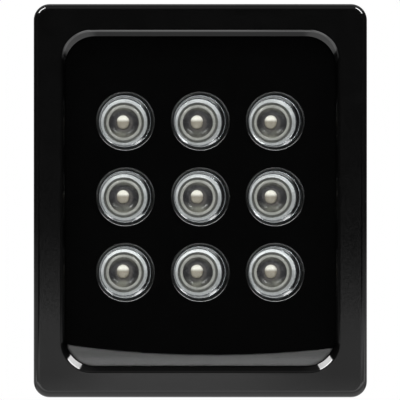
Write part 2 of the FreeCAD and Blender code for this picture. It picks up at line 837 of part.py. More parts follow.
os.makedirs("parts", exist_ok=True)
for name, shape in pieces.items():
    if isinstance(shape, list):
        shape = Part.makeCompound(shape)
    shape.exportStep(f"parts/{name}.step")
    print(name, len(shape.Solids), "solids", round(shape.Volume, 1), "mm3", "valid" if shape.isValid() else "BROKEN")
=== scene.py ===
# %% [markdown]
# # A black infrared lamp with nine lenses
# This lesson dresses a measured model of a small wall lamp that shines in infrared. The lamp is a black
# cast frame round a sheet of glass, with nine round optics behind it, a finned casting at the back and a
# folded steel bracket. The measured model gives every place and size, so the first step is to load it.
# Each loaded piece keeps its own name, and each finish is put on the piece that has it in real life.

# %% Load the measured model
import math

import bpy
from mathutils import Matrix, Vector


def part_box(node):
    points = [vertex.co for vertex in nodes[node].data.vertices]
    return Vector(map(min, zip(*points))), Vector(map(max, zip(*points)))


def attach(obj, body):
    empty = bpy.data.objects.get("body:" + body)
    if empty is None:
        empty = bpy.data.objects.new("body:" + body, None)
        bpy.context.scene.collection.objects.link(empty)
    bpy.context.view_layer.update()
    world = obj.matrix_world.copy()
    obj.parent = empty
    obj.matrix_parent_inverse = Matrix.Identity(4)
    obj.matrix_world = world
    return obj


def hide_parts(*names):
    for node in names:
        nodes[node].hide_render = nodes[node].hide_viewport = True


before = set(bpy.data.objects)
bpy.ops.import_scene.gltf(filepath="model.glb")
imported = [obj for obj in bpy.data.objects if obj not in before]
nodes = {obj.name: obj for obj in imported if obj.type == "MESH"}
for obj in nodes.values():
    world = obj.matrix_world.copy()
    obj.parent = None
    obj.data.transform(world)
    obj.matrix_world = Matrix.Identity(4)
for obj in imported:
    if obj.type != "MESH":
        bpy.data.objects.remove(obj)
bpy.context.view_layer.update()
print("pieces in the measured model:", len(nodes))

# %% [markdown]
# ## Where the photographer stood
# The photograph looks straight at the glass, from about a metre away, and shows no side of the frame.
# Its edges run parallel, so the film was parallel to the glass. The picture is 149.65 mm wide at the front
# face, which fixes the focal length.

# %% Camera
mm = 0.001
bezel_low, bezel_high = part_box("front_bezel")
face_y = bezel_low.y
camera_distance = 1.0
picture_width = 149.65 * mm
sensor_width = 36.0
picture_middle_x = -0.12 * mm
picture_middle_z = 0.25 * mm

camera_data = bpy.data.cameras.new("product_camera")
camera_data.sensor_width = sensor_width
camera_data.lens = sensor_width * camera_distance / picture_width
camera = bpy.data.objects.new("product_camera", camera_data)
camera.location = (picture_middle_x, face_y - camera_distance, picture_middle_z)
camera.rotation_euler = (math.radians(90), 0, 0)
bpy.context.scene.collection.objects.link(camera)
bpy.context.scene.camera = camera
bpy.context.scene.view_settings.view_transform = "Standard"
print("focal length in millimetres:", round(camera_data.lens, 1))

# %% [markdown]
# ## A room for reflections
# Black paint and glass show almost nothing of their own. What the eye reads is the room in them: a dark
# studio behind the camera, a pale ceiling and walls at the sides, and a white backdrop behind the lamp.
# The world shader can answer each kind of ray by itself. The camera sees plain white, glossy rays see
# that room by their direction, and diffuse rays get an even grey, so no extra light is needed for white.

# %% Helpers for shader nodes
def set_socket(tree, socket, value):
    """Gives a socket a number or a colour, or links it to another node's output."""
    if isinstance(value, bpy.types.NodeSocket):
        tree.links.new(value, socket)
    else:
        socket.default_value = value


def add_node(tree, kind, **sockets):
    """Adds a node and sets its input sockets by name, with spaces written as underscores."""
    node = tree.nodes.new(kind)
    for name, value in sockets.items():
        set_socket(tree, node.inputs[name.replace("_", " ")], value)
    return node


def math_node(tree, operation, first, second=0.0, third=0.0):
    """A Math node; each value is a number or another node's output."""
    node = tree.nodes.new("ShaderNodeMath")
    node.operation = operation
    for socket, value in zip(node.inputs, (first, second, third)):
        set_socket(tree, socket, value)
    return node.outputs[0]


def product(tree, first, *others):
    """All the values multiplied together."""
    for other in others:
        first = math_node(tree, "MULTIPLY", first, other)
    return first


def largest(tree, first, *others):
    """The largest of the values."""
    for other in others:
        first = math_node(tree, "MAXIMUM", first, other)
    return first


def remap(tree, value, low, high, new_low, new_high):
    """Turns the range low to high into new_low to new_high, smoothly, and stays inside it."""
    node = add_node(tree, "ShaderNodeMapRange", From_Min=low, From_Max=high, To_Min=new_low, To_Max=new_high)
    node.interpolation_type = "SMOOTHSTEP"
    tree.links.new(value, node.inputs["Value"])
    return node.outputs["Result"]


def mix_shaders(tree, share, first, second):
    """A shader that is the first where the share is 0 and the second where it is 1."""
    mixer = add_node(tree, "ShaderNodeMixShader", Fac=share)
    tree.links.new(first.outputs[0], mixer.inputs[1])
    tree.links.new(second.outputs[0], mixer.inputs[2])
    return mixer


print("shader helpers are ready")

# %% Walls, ceiling and table
front_level = 0.012
ceiling_level = 0.22
rear_ceiling_level = 0.85
wall_level = 0.04
low_wall_level = 0.75
rear_low_wall_level = 0.65
table_level = 0.5
rear_table_level = 1.1
rear_wall_level = 0.2
backdrop_level = 1.0

world = bpy.data.worlds.new("studio")
bpy.context.scene.world = world
world.use_nodes = True
room = world.node_tree
room.nodes.clear()
ray_direction = add_node(room, "ShaderNodeTexCoord").outputs["Generated"]
direction = add_node(room, "ShaderNodeSeparateXYZ", Vector=ray_direction)


def by_depth(low, high, new_low, new_high):
    """Changes as the direction turns from the camera's side, at -1, to the backdrop, at 1."""
    return remap(room, direction.outputs["Y"], low, high, new_low, new_high)


def by_height(low, high, new_low, new_high):
    """Changes as the direction turns from straight down, at -1, to straight up, at 1."""
    return remap(room, direction.outputs["Z"], low, high, new_low, new_high)


# The ceiling is pale overhead, and brighter behind the lamp than in front of it.
ceiling = product(room, by_depth(-0.18, 0.0, ceiling_level, rear_ceiling_level),
                  by_height(0.25, 1.0, 0.0, 1.0))
# The walls at the sides start where the dark end of the studio stops, and are pale low down.
beside = by_depth(-0.9, -0.65, 0.0, 1.0)
front_wall = product(room, beside, wall_level)
low_level = product(room, by_height(-0.35, -0.12, 0.3, 1.0),
                    by_depth(-0.6, 0.1, low_wall_level, rear_low_wall_level))
low_wall = product(room, beside, low_level, by_height(-0.055, 0.0, 1.0, 0.0))
# Behind the lamp stand a grey wall and the white backdrop, and below lies the white table.
rear_wall = product(room, by_depth(0.0, 0.3, 0.0, rear_wall_level), by_height(-0.1, 0.3, 0.0, 1.0))
table = product(room, by_depth(-0.2, 0.05, table_level, rear_table_level), by_height(-0.7, -0.1, 1.0, 0.0),
                by_depth(-0.62, -0.25, 0.0, 1.0))
backdrop = by_depth(0.85, 0.98, 0.0, backdrop_level)
room_light = largest(room, ceiling, front_level, front_wall, low_wall, rear_wall, table, backdrop)
print("nodes that describe the room:", len(room.nodes))

# %% One answer for each kind of ray
ambient_grey = 0.36
white_level = 1.0


def white_background(strength):
    """A white background shader of that strength."""
    return add_node(room, "ShaderNodeBackground", Color=(1, 1, 1, 1), Strength=strength)


rays = add_node(room, "ShaderNodeLightPath").outputs
seen_in_gloss = largest(room, rays["Is Glossy Ray"], rays["Is Transmission Ray"])
gloss_or_ambient = mix_shaders(room, seen_in_gloss, white_background(ambient_grey),
                               white_background(room_light))
with_camera = mix_shaders(room, rays["Is Camera Ray"], gloss_or_ambient, white_background(white_level))
world_output = room.nodes.new("ShaderNodeOutputWorld")
room.links.new(with_camera.outputs[0], world_output.inputs["Surface"])
print("world nodes:", len(room.nodes))

# %% [markdown]
# ## Lamps
# Two long softboxes stand high at the left and the right, a little in front of the lamp. They draw the
# thin white lines on the outer corners and the white patches in the lower corners of the recess, so only
# glossy rays see them. The even light that shows a surface's own colour comes from two large lamps in
# front and one behind, which glossy rays don't see.

# %% Softboxes
lamp_centre = Vector((0, face_y / 2, 0))
strip_distance = 1.2
strip_from_front = math.radians(67)
strip_width = 0.22
strip_length = 0.66
strip_radiance = 19.0
left_strip_height = math.radians(52)
right_strip_height = math.radians(50)


def soft_lamp(name, place, width, height, radiance, glossy):
    """A rectangular lamp that faces the model. Its radiance is how bright it looks, where 1 is white."""
    data = bpy.data.lights.new(name, "AREA")
    data.shape = "RECTANGLE"
    data.size = width
    data.size_y = height
    data.energy = radiance * math.pi * width * height
    lamp = bpy.data.objects.new(name, data)
    lamp.location = place
    lamp.rotation_euler = (lamp_centre - Vector(place)).to_track_quat("-Z", "Y").to_euler()
    lamp.visible_glossy = glossy
    lamp.visible_diffuse = not glossy
    lamp.visible_camera = False
    bpy.context.scene.collection.objects.link(lamp)
    return lamp


def strip_place(side, height_angle):
    """A place on a large circle round the lamp, height_angle above the level at its left or right."""
    beside_lamp = strip_distance * math.sin(strip_from_front)
    across = side * beside_lamp * math.cos(height_angle)
    up = beside_lamp * math.sin(height_angle)
    return (across, face_y - strip_distance * math.cos(strip_from_front), up)


def along_circle(place):
    """The turn that faces a strip to the lamp with its long side along the circle."""
    away = (Vector(place) - lamp_centre).normalized()
    along = Vector((0, 1, 0)).cross(away).normalized()
    return Matrix((along.cross(away), along, away)).transposed().to_euler()


for side_name, side, height_angle in (("left", -1, left_strip_height), ("right", 1, right_strip_height)):
    place = strip_place(side, height_angle)
    strip = soft_lamp(f"strip_{side_name}", place, strip_width, strip_length, strip_radiance, True)
    strip.rotation_euler = along_circle(place)
    print("strip", side_name, "power", round(strip.data.energy, 1))

# %% Soft lamps
# Each soft lamp has its place in metres and its radiance.
soft_lamp_side = 0.9
soft_lamps = {
    "front_key": ((-0.6, face_y - 1.2, 1.1), 6.5),
    "front_fill": ((0.8, face_y - 1.2, 0.4), 2.5),
    "back_fill": ((0.5, 1.4, 0.9), 6.0),
}
for name, (place, radiance) in soft_lamps.items():
    soft_lamp(name, place, soft_lamp_side, soft_lamp_side, radiance, False)
print("soft lamps:", ", ".join(soft_lamps))

# %% [markdown]
# ## Floor
# The floor is a pale round sheet well below the lamp. It takes the soft shadow and fades into the white
# background at its rim, so that no edge shows. Glossy rays pass it by, because the room already says
# what they see below the lamp.

# %% Floor
floor_z = -0.20
floor_radius = 1.1
floor_segments = 96
floor_grey = 0.86
floor_roughness = 0.9
fade_start = 0.4 * floor_radius
fade_end = 0.98 * floor_radius


def mesh_object(name, points, faces):
    """A new object from points in metres and faces that list their corners."""
    mesh = bpy.data.meshes.new(name)
    mesh.from_pydata(points, [], faces)
    mesh.validate()
    mesh.update()
    thing = bpy.data.objects.new(name, mesh)
    bpy.context.scene.collection.objects.link(thing)
    return thing


def shaded_material(name):
    """A new material, its node tree and the Principled shader in it."""
    material = bpy.data.materials.new(name)
    material.use_nodes = True
    tree = material.node_tree
    return material, tree, tree.nodes["Principled BSDF"]


def object_place(tree):
    """The point being shaded, in the piece's own metres."""
    return add_node(tree, "ShaderNodeTexCoord").outputs["Object"]


rim = []
for number in range(floor_segments):
    angle = 2 * math.pi * number / floor_segments
    rim.append((floor_radius * math.cos(angle), floor_radius * math.sin(angle), floor_z))
floor = mesh_object("floor", rim, [tuple(range(floor_segments))])
floor.visible_glossy = False

floor_finish, tree, paint = shaded_material("pale_floor")
paint.inputs["Base Color"].default_value = (floor_grey, floor_grey, floor_grey, 1)
paint.inputs["Roughness"].default_value = floor_roughness
distance = add_node(tree, "ShaderNodeVectorMath")
distance.operation = "LENGTH"
tree.links.new(object_place(tree), distance.inputs[0])
fade = remap(tree, distance.outputs["Value"], fade_start, fade_end, 0.0, 1.0)
clear = tree.nodes.new("ShaderNodeBsdfTransparent")
faded_paint = mix_shaders(tree, fade, paint, clear)
tree.links.new(faded_paint.outputs[0], tree.nodes["Material Output"].inputs["Surface"])
floor.data.materials.append(floor_finish)
print("floor at", floor_z)

# %% [markdown]
# ## Table card
# The glass mirrors a pale band along its lower edge: the white table in front of the lamp, whose far edge
# bows a little. A card at the height of the table, seen by glossy rays alone, draws that band. A sheet
# whose far edge follows a parabola gives the bow, and its glow changes with the distance from the lamp,
# because each distance shows at its own height in the glass and in the slope of the recess.

# %% Shape of the card
card_z = -0.085
card_left = -0.35
card_right = 0.9
card_reach = 0.455
card_longest = 0.95
card_bow = 0.088
card_lean = -0.015
card_bow_at = 78 * mm
card_steps = 90

near_edge = []
far_edge = []
for number in range(card_steps + 1):
    x = card_left + (card_right - card_left) * number / card_steps
    share = x / card_bow_at
    reach = min(card_reach + card_bow * share ** 2 + card_lean * share, card_longest)
    near_edge.append((x, face_y, card_z))
    far_edge.append((x, face_y - reach, card_z))
strips = [(n, n + 1, card_steps + 2 + n, card_steps + 1 + n) for n in range(card_steps)]
card = mesh_object("table_card", near_edge + far_edge, strips)
card.visible_camera = False
card.visible_diffuse = False
card.visible_shadow = False
card.visible_transmission = False
print("card at", card_z, "with", len(strips), "strips")

# %% Glow of the card
glow_length = 0.5
glow_strength = 2.5
belt_ahead = 0.235
glow_left = 13 * mm
card_stops = [(0.0, 0.58), (0.016, 0.52), (0.036, 0.36), (0.06, 0.4), (0.11, 0.9), (0.21, 0.96),
              (0.3, 0.46), (0.4, 0.52), (0.56, 0.86), (0.66, 0.84), (0.76, 0.6), (0.84, 0.58), (0.88, 0.46),
              (0.94, 0.4)]


def place_parts(tree):
    """The X, Y and Z of the point being shaded, in the piece's own metres."""
    return add_node(tree, "ShaderNodeSeparateXYZ", Vector=object_place(tree)).outputs


def without_sign(tree, value):
    """The value, made positive."""
    return math_node(tree, "ABSOLUTE", value)


def grey_ramp(tree, value, stops):
    """A curve through (position, grey) stops; positions and greys run from 0 to 1."""
    ramp = tree.nodes.new("ShaderNodeValToRGB")
    elements = ramp.color_ramp.elements
    while len(elements) < len(stops):
        elements.new(0.5)
    for element, (position, grey) in zip(elements, stops):
        element.position = position
        element.color = (grey, grey, grey, 1)
    tree.links.new(value, ramp.inputs["Fac"])
    return ramp.outputs["Color"]


def bare_material(name):
    """A new material whose node tree is empty, and that tree."""
    material = bpy.data.materials.new(name)
    material.use_nodes = True
    material.node_tree.nodes.clear()
    return material, material.node_tree


card_finish, tree = bare_material("white_table")
place = place_parts(tree)
ahead = math_node(tree, "SUBTRACT", face_y, place["Y"])
along_glow = grey_ramp(tree, math_node(tree, "DIVIDE", ahead, glow_length), card_stops)
# In a belt across the card the glow halves away from its middle. Elsewhere it is even from side to side.
from_belt = without_sign(tree, math_node(tree, "SUBTRACT", ahead, belt_ahead))
off_belt = remap(tree, from_belt, 0.08, 0.13, 0.0, 1.0)
from_middle = without_sign(tree, math_node(tree, "ADD", place["X"], glow_left))
near_middle = remap(tree, from_middle, 0.025, 0.06, 1.0, 0.5)
glow = product(tree, along_glow, largest(tree, near_middle, off_belt), glow_strength)
shine = add_node(tree, "ShaderNodeEmission", Color=(1, 1, 1, 1), Strength=glow)
card_output = tree.nodes.new("ShaderNodeOutputMaterial")
tree.links.new(shine.outputs[0], card_output.inputs["Surface"])
card.data.materials.append(card_finish)
print("card glows along", glow_length, "m")

# %% [markdown]
# ## Finishes
# Most pieces share a few recipes: a colour that varies a little, a roughness that varies with it, and a
# fine grain that stands up as bump. One function makes such a finish from plain numbers, so that each
# material later is a single readable line. All patterns use the piece's own coordinates and move with it.

# %% The common recipe
roughness_spread = 0.15
noise_low = 0.3
noise_high = 0.7


def grain_noise(tree, size, detail=3.0, stretch=None):
    """Noise fixed to the piece; size is how large its lumps are, in metres."""
    place = object_place(tree)
    if stretch:
        place = add_node(tree, "ShaderNodeMapping", Vector=place, Scale=stretch).outputs["Vector"]
    noise = add_node(tree, "ShaderNodeTexNoise", Vector=place, Scale=1 / size, Detail=detail)
    return noise.outputs["Fac"]


def shade_between(tree, value, dark, light):
    """A colour that runs from dark to light over the range that noise covers."""
    ramp = tree.nodes.new("ShaderNodeValToRGB")
    ends = zip(ramp.color_ramp.elements, (noise_low, noise_high), (dark, light))
    for element, position, colour in ends:
        element.position = position
        element.color = (*colour, 1)
    tree.links.new(value, ramp.inputs["Fac"])
    return ramp.outputs["Color"]


def relief(tree, shader, height, depth):
    """Makes the height pattern stand up by the depth, as bump."""
    bump = add_node(tree, "ShaderNodeBump", Strength=1.0, Distance=depth, Height=height)
    tree.links.new(bump.outputs["Normal"], shader.inputs["Normal"])


def finish(name, colour, roughness, metallic=0.0, grain=0.4 * mm, depth=0.02 * mm, mottle=0.15,
           mottle_size=6 * mm, stretch=None):
    """A material with mottled colour, uneven roughness and a fine grain in relief."""
    material, tree, shader = shaded_material(name)
    shader.inputs["Metallic"].default_value = metallic
    cloud = grain_noise(tree, mottle_size, 4.0)
    dark = [value * (1 - mottle) for value in colour]
    light = [value * (1 + mottle) for value in colour]
    tree.links.new(shade_between(tree, cloud, dark, light), shader.inputs["Base Color"])
    fine = grain_noise(tree, grain, 3.0, stretch)
    smoothest = roughness * (1 - roughness_spread)
    roughest = roughness * (1 + roughness_spread)
    tree.links.new(remap(tree, fine, noise_low, noise_high, smoothest, roughest), shader.inputs["Roughness"])
    relief(tree, shader, fine, depth)
    return material


def dress(node_name, material):
    """Puts one material on every face of a loaded piece."""
    slots = nodes[node_name].data.materials
    for index in range(len(slots)):
        slots[index] = material


print("common recipe is ready, its roughness varies by a share of", roughness_spread)

# %% [markdown]
# ## The cast front frame
# The frame is cast metal with a satin black coat. The flat face is soft and a little uneven, while the
# sloped wall of the recess and the rounded outer edge are smoother and mirror more sharply. All are one
# piece, so one material reads its own position. It turns glossier on those edges and duller on the
# recess' side walls, and the strength of the coat varies a little from the bottom to the top.

# %% Where a point lies on the frame
frame_side = 10.8 * mm
frame_end = 9.8 * mm
recess_corner = 10.8 * mm
recess_drop = 0.3 * mm
body_corner = 6 * mm


def tree_and_shader(material):
    """The node tree of a material and the Principled shader in it."""
    return material.node_tree, material.node_tree.nodes["Principled BSDF"]


def rounded_frame_distance(tree, place, half_width, half_height, corner):
    """How far a point lies outside a rounded rectangle in the XZ plane; negative inside it."""
    across, up = place
    past_x = math_node(tree, "SUBTRACT", without_sign(tree, across), half_width - corner)
    past_z = math_node(tree, "SUBTRACT", without_sign(tree, up), half_height - corner)
    over_x = largest(tree, past_x, 0.0)
    over_z = largest(tree, past_z, 0.0)
    square = math_node(tree, "MULTIPLY_ADD", over_x, over_x, product(tree, over_z, over_z))
    within = math_node(tree, "MINIMUM", largest(tree, past_x, past_z), 0.0)
    reach = math_node(tree, "ADD", math_node(tree, "SQRT", square), within)
    return math_node(tree, "SUBTRACT", reach, corner)


bezel_paint = finish("bezel_paint", (0.0022, 0.0022, 0.0022), 0.2, grain=0.9 * mm, depth=0.003 * mm,
                     mottle=0.2, mottle_size=9 * mm)
tree, shader = tree_and_shader(bezel_paint)
place = place_parts(tree)
raised = math_node(tree, "ADD", place["Z"], recess_drop)
outside_recess = rounded_frame_distance(tree, (place["X"], raised), bezel_high.x - frame_side,
                                        bezel_high.z - frame_end, recess_corner)
outside_body = rounded_frame_distance(tree, (place["X"], place["Z"]), bezel_high.x, bezel_high.z, body_corner)
print("half sizes of the recess in millimetres:", round((bezel_high.x - frame_side) / mm, 2),
      round((bezel_high.z - frame_end) / mm, 2))

# %% Polish and colour of the slope
# Distances outside the recess' outline and the body's outline, where one finish gives way to the next.
slope_top = 0.5 * mm
edge_start = -2.6 * mm
edge_end = -2.3 * mm
fade_width = 0.4 * mm
mirror_polish = 0.4
slope_shade_black = (0.0008, 0.0008, 0.0008)


def fed_by(shader, socket_name):
    """What is linked to a socket of the shader so far."""
    return shader.inputs[socket_name].links[0].from_socket


def mix_colours(tree, share, first, second):
    """A colour between first and second; each is three numbers or another node's output."""
    node = tree.nodes.new("ShaderNodeMix")
    node.data_type = "RGBA"
    tree.links.new(share, node.inputs[0])
    for socket, colour in ((node.inputs[6], first), (node.inputs[7], second)):
        set_socket(tree, socket, colour if isinstance(colour, bpy.types.NodeSocket) else (*colour, 1))
    return node.outputs[2]


slope_polish = remap(tree, outside_recess, slope_top, slope_top + fade_width, mirror_polish, 1.0)
edge_polish = remap(tree, outside_body, edge_start, edge_end, 1.0, mirror_polish)
polish = math_node(tree, "MINIMUM", slope_polish, edge_polish)
tree.links.new(product(tree, fed_by(shader, "Roughness"), polish), shader.inputs["Roughness"])
# The slope's colour is darker than the face's. This is partly a smoother coat that scatters less and partly
# painted shade in the recess.
on_slope = remap(tree, outside_recess, -0.6 * mm, slope_top, 1.0, 0.0)
frame_colour = mix_colours(tree, on_slope, fed_by(shader, "Base Color"), slope_shade_black)
tree.links.new(frame_colour, shader.inputs["Base Color"])
print("slope of the recess polished")

# %% Strength of the mirror on the slope
dull_loss = -0.9


def slope_dullness(tree, place, outside_recess):
    """Where the slope mirrors little: beside the glass, at both ends, towards the top and at its foot."""
    height = without_sign(tree, place["Z"])
    beside_glass = remap(tree, height, 53 * mm, 59 * mm, 1.0, 0.0)
    off_corner = remap(tree, without_sign(tree, place["X"]), 38 * mm, 42 * mm, 1.0, 0.0)
    at_end = product(tree, remap(tree, height, 58 * mm, 61 * mm, 0.0, 0.55), off_corner)
    towards_top = remap(tree, place["Z"], 0.0, 50 * mm, 0.0, 0.28)
    lower_slope = remap(tree, outside_recess, -0.5 * mm, 0.0, 1.0, 0.0)
    whole_slope = remap(tree, outside_recess, 0.1 * mm, 0.6 * mm, 1.0, 0.0)
    foot = remap(tree, place["Y"], face_y + 1.5 * mm, face_y + 1.8 * mm, 0.0, 1.0)
    dull_slope = product(tree, largest(tree, beside_glass, towards_top, at_end), lower_slope)
    return largest(tree, dull_slope, product(tree, beside_glass, whole_slope), foot)


def slope_shine(tree, place, outside_recess):
    """The slope mirrors most in a narrow line near its upper edge."""
    outer_part = remap(tree, outside_recess, 0.2 * mm, 0.5 * mm, 1.0, 0.3)
    inner_part = remap(tree, outside_recess, -0.7 * mm, -0.15 * mm, 0.4, 1.0)
    bright_line = math_node(tree, "MINIMUM", outer_part, inner_part)
    dull = slope_dullness(tree, place, outside_recess)
    return product(tree, bright_line, math_node(tree, "MULTIPLY_ADD", dull, dull_loss, 1.0))


on_slope_shine = slope_shine(tree, place, outside_recess)
print("nodes in the frame's paint so far:", len(tree.nodes))

# %% Strength of the mirror on the outer edge and the flat face
coat_stops = [(0.0, 0.42), (0.06, 0.38), (0.1, 0.45), (0.15, 0.54), (0.2, 0.66), (0.3, 0.61), (0.35, 0.5),
              (0.41, 0.36), (0.5, 0.3), (0.7, 0.32)]


def mix_values(tree, share, first, second):
    """A plain value between first and second."""
    node = tree.nodes.new("ShaderNodeMix")
    for socket, value in zip(node.inputs[0:1] + node.inputs[2:4], (share, first, second)):
        tree.links.new(value, socket)
    return node.outputs[0]


def outer_edge_shine(tree, place):
    """The rounded outer edge: its front part mirrors more towards the top, its rear part less."""
    rear_part = remap(tree, place["Y"], face_y + 0.3 * mm, face_y + 0.5 * mm, 0.0, 1.0)
    front_shine = remap(tree, place["Z"], -30 * mm, 50 * mm, 0.45, 1.0)
    rear_shine = remap(tree, place["Z"], -30 * mm, 50 * mm, 0.45, 0.25)
    return mix_values(tree, rear_part, front_shine, rear_shine)


def flat_face_coat(tree, place):
    """The coat of the flat face from the bottom to the top, a little stronger below the recess."""
    from_bottom = math_node(tree, "ADD", place["Z"], bezel_high.z)
    coat = grey_ramp(tree, math_node(tree, "DIVIDE", from_bottom, 2 * bezel_high.z), coat_stops)
    in_middle = remap(tree, without_sign(tree, place["X"]), 25 * mm, 52 * mm, 0.4, 0.0)
    above_rim = remap(tree, place["Z"], -72 * mm, -62 * mm, 0.0, 1.0)
    below_recess = remap(tree, place["Z"], -62 * mm, -58 * mm, 1.0, 0.0)
    stronger = product(tree, in_middle, above_rim, below_recess)
    return product(tree, coat, math_node(tree, "ADD", stronger, 1.0))


past_slope = remap(tree, outside_recess, 1.5 * mm, 2.5 * mm, 0.0, 1.0)
edge_shine = mix_values(tree, past_slope, on_slope_shine, outer_edge_shine(tree, place))
off_slope = remap(tree, outside_recess, slope_top, slope_top + fade_width, 0.0, 1.0)
off_edge = remap(tree, outside_body, edge_start, edge_end, 1.0, 0.0)
on_flat = product(tree, off_slope, off_edge)
mirror_strength = mix_values(tree, on_flat, edge_shine, flat_face_coat(tree, place))
tree.links.new(mirror_strength, shader.inputs["Specular IOR Level"])
dress("front_bezel", bezel_paint)
print("front frame dressed with", len(tree.nodes), "nodes")

# %% [markdown]
# ## Glass
# The window is a flat sheet of clear toughened glass. A glass shader would bend light that a flat sheet
# lets straight through, and would darken what lies behind. So the sheet is see-through, with a mirror on
# top whose strength grows towards a grazing look, as real glass does: four hundredths straight on.

# %% Window glass
def clear_sheet(name, tint, straight_on):
    """See-through material whose mirror grows with the fifth power of how far the look grazes it."""
    material, tree = bare_material(name)
    facing = add_node(tree, "ShaderNodeLayerWeight", Blend=0.5).outputs["Facing"]
    grazing = math_node(tree, "POWER", facing, 5.0)
    mirror_share = math_node(tree, "MULTIPLY_ADD", grazing, 1 - straight_on, straight_on)
    clear = add_node(tree, "ShaderNodeBsdfTransparent", Color=(*tint, 1))
    mirror = add_node(tree, "ShaderNodeBsdfAnisotropic", Color=(1, 1, 1, 1), Roughness=0.0)
    sheet = mix_shaders(tree, mirror_share, clear, mirror)
    output = tree.nodes.new("ShaderNodeOutputMaterial")
    tree.links.new(sheet.outputs[0], output.inputs["Surface"])
    return material


dress("front_window", clear_sheet("window_glass", (0.975, 0.98, 0.98), straight_on=0.042))
dress("window_gasket", finish("gasket_rubber", (0.01, 0.01, 0.01), 0.7, grain=0.3 * mm))
print("glass and its seal dressed")

# %% [markdown]
# ## The lens tray
# Behind the glass lies a glossy black moulding with nine cups. Through the glass it must read as deep
# black, so its colour is nearly nothing and its shine is weak. Only the chamfer round each cup shows. The
# light on it is painted into its colour: a grey band of painted light above the optic and a thin painted
# highlight line below it. So its colour follows the height in the cup, which repeats from row to row.

# %% Tray
tray_rim_height = 2.0 * mm
tray_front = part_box("lens_tray")[0].y + tray_rim_height
plain_roughness = 0.6
cup_roughness = 0.18
cup_shine = 0.25


def middle_of(node_name):
    """The middle of a loaded piece's box."""
    low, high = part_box(node_name)
    return (low + high) / 2


lens_row_z = middle_of("lens_5").z
lens_row_step = abs(middle_of("lens_2").z - lens_row_z)
tray_plastic = finish("tray_plastic", (0.0012, 0.0012, 0.0012), plain_roughness, grain=1.5 * mm,
                      depth=0.002 * mm, mottle=0.2)
tree, shader = tree_and_shader(tray_plastic)
place = place_parts(tree)
in_cup = remap(tree, place["Y"], tray_front + 0.03 * mm, tray_front + 0.08 * mm, 0.0, 1.0)
tray_roughness = math_node(tree, "MULTIPLY_ADD", in_cup, cup_roughness - plain_roughness, plain_roughness)
tree.links.new(tray_roughness, shader.inputs["Roughness"])
tree.links.new(product(tree, in_cup, cup_shine), shader.inputs["Specular IOR Level"])
above_row = math_node(tree, "SUBTRACT", place["Z"], lens_row_z)
height_in_cup = math_node(tree, "WRAP", above_row, lens_row_step / 2, -lens_row_step / 2)
near_front = remap(tree, place["Y"], tray_front + 0.12 * mm, tray_front + 0.3 * mm, 1.0, 0.0)
# Painted light on the cup's chamfer: a highlight line below the optic and a grey band of light above it.
painted_highlight_line = product(tree, near_front, remap(tree, height_in_cup, -10 * mm, -3 * mm, 0.6, 0.0))
painted_light_band = remap(tree, height_in_cup, -2 * mm, 8 * mm, 0.02, 0.11)
painted_chamfer_light = largest(tree, painted_highlight_line, painted_light_band)
tray_colour = mix_colours(tree, in_cup, fed_by(shader, "Base Color"), painted_chamfer_light)
tree.links.new(tray_colour, shader.inputs["Base Color"])
dress("lens_tray", tray_plastic)
print("tray dressed, its rows", round(lens_row_step / mm, 2), "mm apart")

# %% [markdown]
# ## Nine optics
# Each optic is one turned piece of clear plastic that sends the light forward. From the front, its slopes
# show as rings: thin bright lines at the rim, a silver cone, a dark groove, a warm ridge and a smoky bowl
# with the emitter's cap in the middle. Here the rings are opaque, and their colours are painted reflections
# and painted shade that stand for the light the clear plastic bends and mirrors. Turning one outline
# about the optic's axis gives all these rings at once. Each stretch of the outline has its own finish, and
# the circle between two stretches is sharp.
# In the photograph the inner rings stand a little left of and below the rim, because they lie deeper. The
# turned outline leans the same way: rings further in stand further off the axis.

# %% Turning an outline
lean_starts_at = 10.0 * mm
lean_full_at = 8.4 * mm


def turned_ring(points, radius, depth, lean, segments):
    """Adds one circle of points round the local Y axis and returns their numbers."""
    if radius == 0:
        points.append((0.0, depth, 0.0))
        return [len(points) - 1] * segments
    still_straight = (radius - lean_full_at) / (lean_starts_at - lean_full_at)
    still_straight = min(1.0, max(0.0, still_straight))
    first = len(points)
    for step in range(segments):
        angle = 2 * math.pi * step / segments
        x = radius * math.cos(angle) - still_straight * lean[0]
        z = radius * math.sin(angle) - still_straight * lean[1]
        points.append((x, depth, z))
    return list(range(first, first + segments))


def turned_piece(name, stretches, materials, lean, segments=96):
    """Turns an outline about the local Y axis. Each stretch is (finish name, [(radius, depth), ...])."""
    points = []
    faces = []
    face_slots = []
    sharp = set()
    previous = turned_ring(points, *stretches[0][1][0], lean, segments)
    for finish_name, outline in stretches:
        if faces:
            sharp.update(frozenset((previous[step - 1], previous[step])) for step in range(segments))
        for radius, depth in outline[1:]:
            ring = turned_ring(points, radius, depth, lean, segments)
            for step in range(segments):
                corners = [previous[step - 1], previous[step], ring[step], ring[step - 1]]
                faces.append(tuple(dict.fromkeys(corners)))
                face_slots.append(list(materials).index(finish_name))
            previous = ring
    piece = mesh_object(name, points, faces)
    for material in materials.values():
        piece.data.materials.append(material)
    for polygon, slot_number in zip(piece.data.polygons, face_slots):
        polygon.material_index = slot_number
    piece.data.shade_smooth()
    for edge in piece.data.edges:
        edge.use_edge_sharp = frozenset(edge.vertices) in sharp
    return piece


print("rings lean from", lean_starts_at / mm, "to", lean_full_at / mm, "mm off the axis")

# %% [markdown]
# ## Finishes of the rings
# The colours of the rings are painted reflections and painted shade of the clear plastic. Colour,
# roughness and relief vary in fine stripes, which on the silver cone run outward from the middle. Angle
# and radius, worked out from the optic's own coordinates, give a noise that stretches along those lines.

# %% Ring finishes
own_noise_spread = 40.0
ring_roughness_spread = 0.3


def polar_angle(tree, place):
    """The angle round the optic's axis, in radians from its right side."""
    return math_node(tree, "ARCTAN2", place["Z"], place["X"])


def polar_radius(tree, place):
    """The distance from the optic's axis, in metres."""
    square = product(tree, place["X"], place["X"])
    return math_node(tree, "SQRT", math_node(tree, "MULTIPLY_ADD", place["Z"], place["Z"], square))


